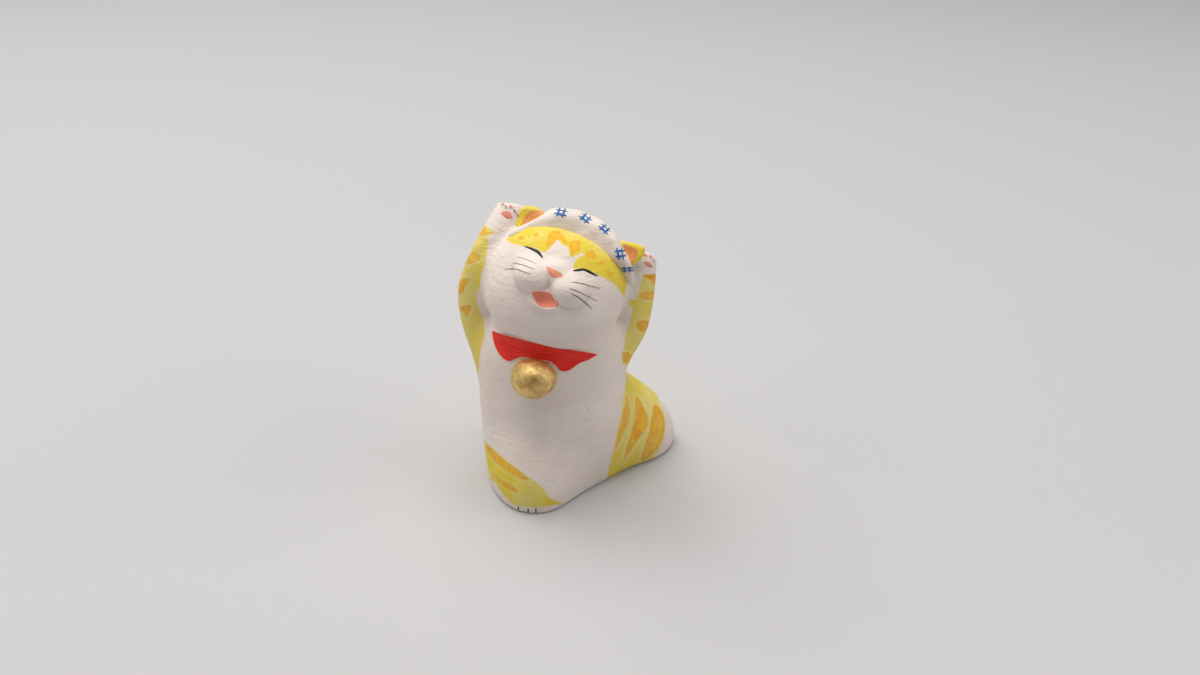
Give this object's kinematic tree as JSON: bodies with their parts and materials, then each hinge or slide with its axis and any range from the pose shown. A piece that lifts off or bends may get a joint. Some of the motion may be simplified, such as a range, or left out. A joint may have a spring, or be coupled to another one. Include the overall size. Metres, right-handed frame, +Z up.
{
  "type": "lucky cat figurine",
  "caption": "Hand-painted clay lucky cat, laughing with both paws raised beside its head, in a head cloth, red bib collar and gold bell, standing on a flat base.",
  "frame": {"origin": "on the table, under the middle of the chest, on the base slab's lower face", "axes": "+Z up; the cat faces -Y; +X is the cat's own left side"},
  "size_m": [0.0524, 0.0421, 0.0707],
  "materials": {
    "white_slip": "matte warm white pigment over fired clay, brushed on, with pinholes",
    "yellow_paint": "matte yellow wash with darker ochre tabby strokes",
    "red_paint": "brushed red paint with a low sheen",
    "gold_paint": "gold powder paint, brushed over clay"
  },
  "bodies": {
    "root": {"torso_front": "white_slip", "torso_rear": "white_slip", "base_slab": "white_slip", "head_front": "white_slip", "head_rear": "white_slip", "muzzle": "white_slip", "head_cloth": "white_slip", "ear_left": "yellow_paint", "ear_right": "yellow_paint", "arm_left": "yellow_paint", "arm_right": "yellow_paint", "leg_left": "yellow_paint", "leg_right": "yellow_paint", "tail": "yellow_paint", "collar": "red_paint", "bell": "gold_paint"}
  },
  "joints": []
}
